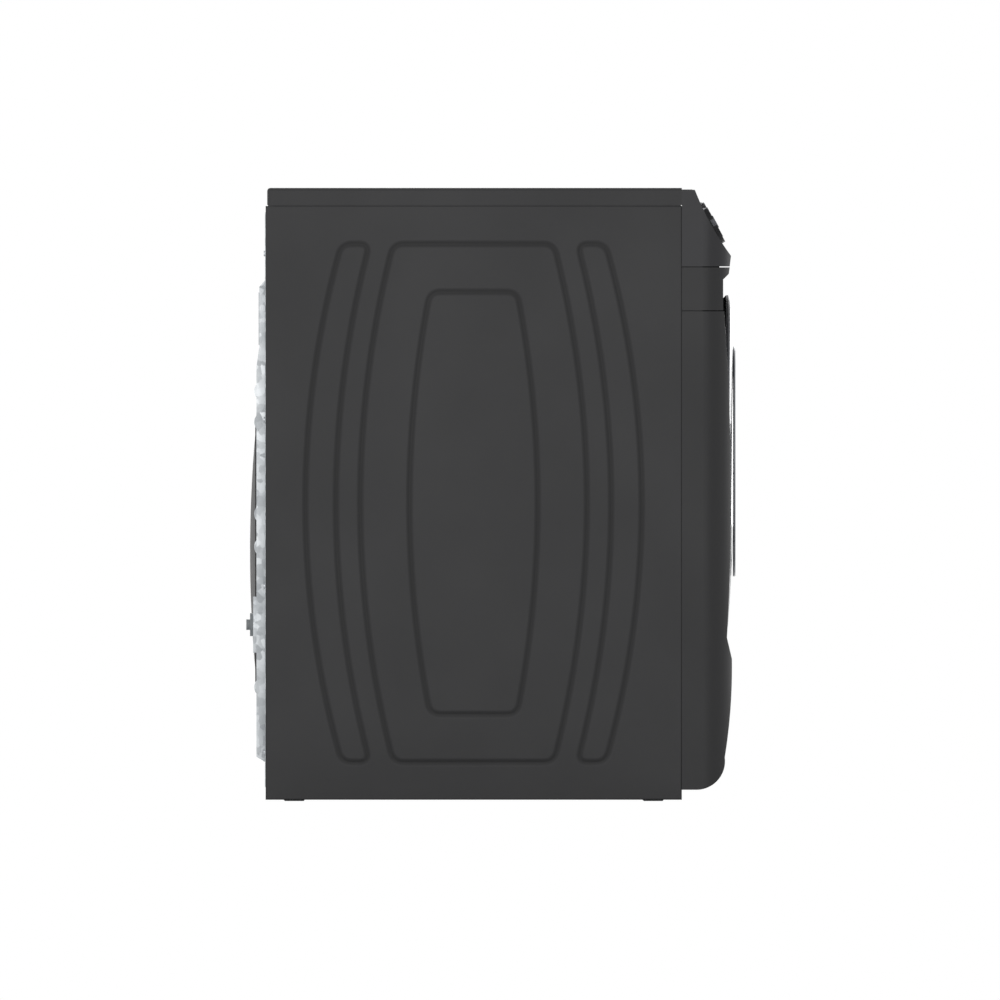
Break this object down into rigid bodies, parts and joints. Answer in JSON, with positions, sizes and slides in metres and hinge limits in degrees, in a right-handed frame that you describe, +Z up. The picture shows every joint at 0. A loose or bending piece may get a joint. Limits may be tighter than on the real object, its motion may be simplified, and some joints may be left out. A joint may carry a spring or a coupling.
{
  "type": "clothes dryer",
  "caption": "Front-loading clothes dryer with a round glazed door, a sloped control console, a belt-driven drum and a rear exhaust.",
  "frame": {"origin": "on the floor under the middle of the overall box", "axes": "+Z up, the door faces -Y, +X to the right of a person behind the dryer looking towards the front"},
  "size_m": [0.6864, 0.784, 0.984],
  "materials": {
    "graphite_enamel": "satin",
    "galvanised_steel": "spangled",
    "black_plastic": "matte",
    "dark_trim": "gloss",
    "satin_metal": "satin",
    "foot_steel": "plated",
    "grey_plastic": "matte",
    "white_plastic": "matte",
    "felt": "fibrous",
    "drum_steel": "brushed",
    "rubber": "matte",
    "smoked_glass": "gloss",
    "clear_glass": "clear",
    "circuit_board": "matte",
    "door_chrome": "satin chrome film",
    "mesh_steel": "woven",
    "motor_steel": "satin"
  },
  "bodies": {
    "cabinet": {"left_side_panel": "graphite_enamel", "right_side_panel": "graphite_enamel", "top_panel": "graphite_enamel", "front_panel": "graphite_enamel", "console_skirt": "graphite_enamel", "base_pan": "galvanised_steel", "rear_panel": "galvanised_steel", "panel_screws": "foot_steel", "rear_cover": "black_plastic", "water_valve": "grey_plastic", "terminal_cover": "galvanised_steel", "terminal_block": "black_plastic", "front_bulkhead": "galvanised_steel", "rear_bulkhead": "galvanised_steel", "felt_seals": "felt", "roller_axles": "foot_steel", "heater_box": "galvanised_steel", "heater_coils": "foot_steel", "door_surround": "dark_trim", "opening_collar": "grey_plastic", "door_seal": "rubber", "console_fascia": "dark_trim", "display_lens": "smoked_glass", "control_board": "circuit_board", "console_housing": "dark_trim", "hinge_bracket": "foot_steel", "hinge_pin": "foot_steel", "door_catch": "black_plastic", "lint_duct": "black_plastic", "motor": "motor_steel", "blower_housing": "black_plastic", "exhaust_duct": "galvanised_steel", "drum_belt": "rubber", "idler_spring": "foot_steel"},
    "door": {"door_ring": "door_chrome", "door_window": "smoked_glass", "door_liner": "grey_plastic", "inner_glass": "clear_glass", "hinge_leaf": "foot_steel", "door_strike": "foot_steel"},
    "drum": {"drum": "drum_steel", "drum_lifters": "grey_plastic"},
    "roller_left": {"roller_left": "rubber"},
    "roller_right": {"roller_right": "rubber"},
    "rotor": {"motor_shaft": "foot_steel", "blower_wheel": "black_plastic"},
    "idler_arm": {"idler_arm": "foot_steel"},
    "idler_pulley": {"idler_pulley": "black_plastic"},
    "cycle_dial": {"cycle_dial": "satin_metal"},
    "option_button_1": {"option_button_1": "satin_metal"},
    "option_button_2": {"option_button_2": "satin_metal"},
    "start_button": {"start_button": "satin_metal"},
    "power_button": {"power_button": "satin_metal"},
    "lint_screen": {"lint_screen": "grey_plastic", "lint_mesh": "mesh_steel"},
    "switch_plunger": {"switch_plunger": "white_plastic"},
    "foot_front_left": {"foot_front_left": "foot_steel"},
    "foot_front_right": {"foot_front_right": "foot_steel"},
    "foot_rear_left": {"foot_rear_left": "foot_steel"},
    "foot_rear_right": {"foot_rear_right": "foot_steel"}
  },
  "joints": [
    {"name": "door_hinge", "type": "hinge", "parent": "cabinet", "child": "door", "pos_m": [0.262, -0.381, 0.545], "axis": [0, 0, 1], "range_deg": [0, 90]},
    {"name": "drum_spin", "type": "hinge", "parent": "cabinet", "child": "drum", "pos_m": [0, 0, 0.56], "axis": [0, 1, 0], "continuous": true},
    {"name": "roller_left_spin", "type": "hinge", "parent": "cabinet", "child": "roller_left", "pos_m": [-0.22004, 0.311, 0.27836], "axis": [0, 1, 0], "continuous": true},
    {"name": "roller_right_spin", "type": "hinge", "parent": "cabinet", "child": "roller_right", "pos_m": [0.22004, 0.311, 0.27836], "axis": [0, 1, 0], "continuous": true},
    {"name": "motor_spin", "type": "hinge", "parent": "cabinet", "child": "rotor", "pos_m": [-0.15, -0.137, 0.118], "axis": [0, 1, 0], "continuous": true},
    {"name": "idler_arm_swing", "type": "hinge", "parent": "cabinet", "child": "idler_arm", "pos_m": [-0.14277, -0.0535, 0.0834], "axis": [0, 1, 0], "range_deg": [0, 12], "stiffness_Nm_per_rad": 2, "springref_deg": -17.19},
    {"name": "idler_pulley_spin", "type": "hinge", "parent": "idler_arm", "child": "idler_pulley", "pos_m": [-0.08844, -0.045, 0.11328], "axis": [0, 1, 0], "continuous": true},
    {"name": "dial_turn", "type": "hinge", "parent": "cabinet", "child": "cycle_dial", "pos_m": [0, -0.357, 0.928], "axis": [0, -0.8773, 0.48], "continuous": true},
    {"name": "lint_screen_lift", "type": "slide", "parent": "cabinet", "child": "lint_screen", "axis": [0, 0, 1], "range_m": [0, 0.18]},
    {"name": "switch_plunger_slide", "type": "slide", "parent": "cabinet", "child": "switch_plunger", "axis": [0, -1, 0], "range_m": [0, 0.004]},
    {"name": "option_button_1_press", "type": "slide", "parent": "cabinet", "child": "option_button_1", "axis": [0, 0.8773, -0.48], "range_m": [0, 0.0012], "stiffness_N_per_m": 1200, "springref_m": -0.0005},
    {"name": "option_button_2_press", "type": "slide", "parent": "cabinet", "child": "option_button_2", "axis": [0, 0.8773, -0.48], "range_m": [0, 0.0012], "stiffness_N_per_m": 1200, "springref_m": -0.0005},
    {"name": "start_button_press", "type": "slide", "parent": "cabinet", "child": "start_button", "axis": [0, 0.8773, -0.48], "range_m": [0, 0.0012], "stiffness_N_per_m": 1200, "springref_m": -0.0005},
    {"name": "power_button_press", "type": "slide", "parent": "cabinet", "child": "power_button", "axis": [0, 0.8773, -0.48], "range_m": [0, 0.0012], "stiffness_N_per_m": 1200, "springref_m": -0.0005},
    {"name": "foot_front_left_screw", "type": "slide", "parent": "cabinet", "child": "foot_front_left", "axis": [0, 0, -1], "range_m": [0, 0.025]},
    {"name": "foot_front_right_screw", "type": "slide", "parent": "cabinet", "child": "foot_front_right", "axis": [0, 0, -1], "range_m": [0, 0.025]},
    {"name": "foot_rear_left_screw", "type": "slide", "parent": "cabinet", "child": "foot_rear_left", "axis": [0, 0, -1], "range_m": [0, 0.025]},
    {"name": "foot_rear_right_screw", "type": "slide", "parent": "cabinet", "child": "foot_rear_right", "axis": [0, 0, -1], "range_m": [0, 0.025]}
  ],
  "couplings": [
    {"joint": "roller_left_spin", "follows": "drum_spin", "ratio": -10.156},
    {"joint": "roller_right_spin", "follows": "drum_spin", "ratio": -10.156},
    {"joint": "motor_spin", "follows": "drum_spin", "ratio": 27.471},
    {"joint": "idler_pulley_spin", "follows": "drum_spin", "ratio": -14.927},
    {"joint": "switch_plunger_slide", "follows": "door_hinge", "m_per_rad": 0.002546}
  ]
}
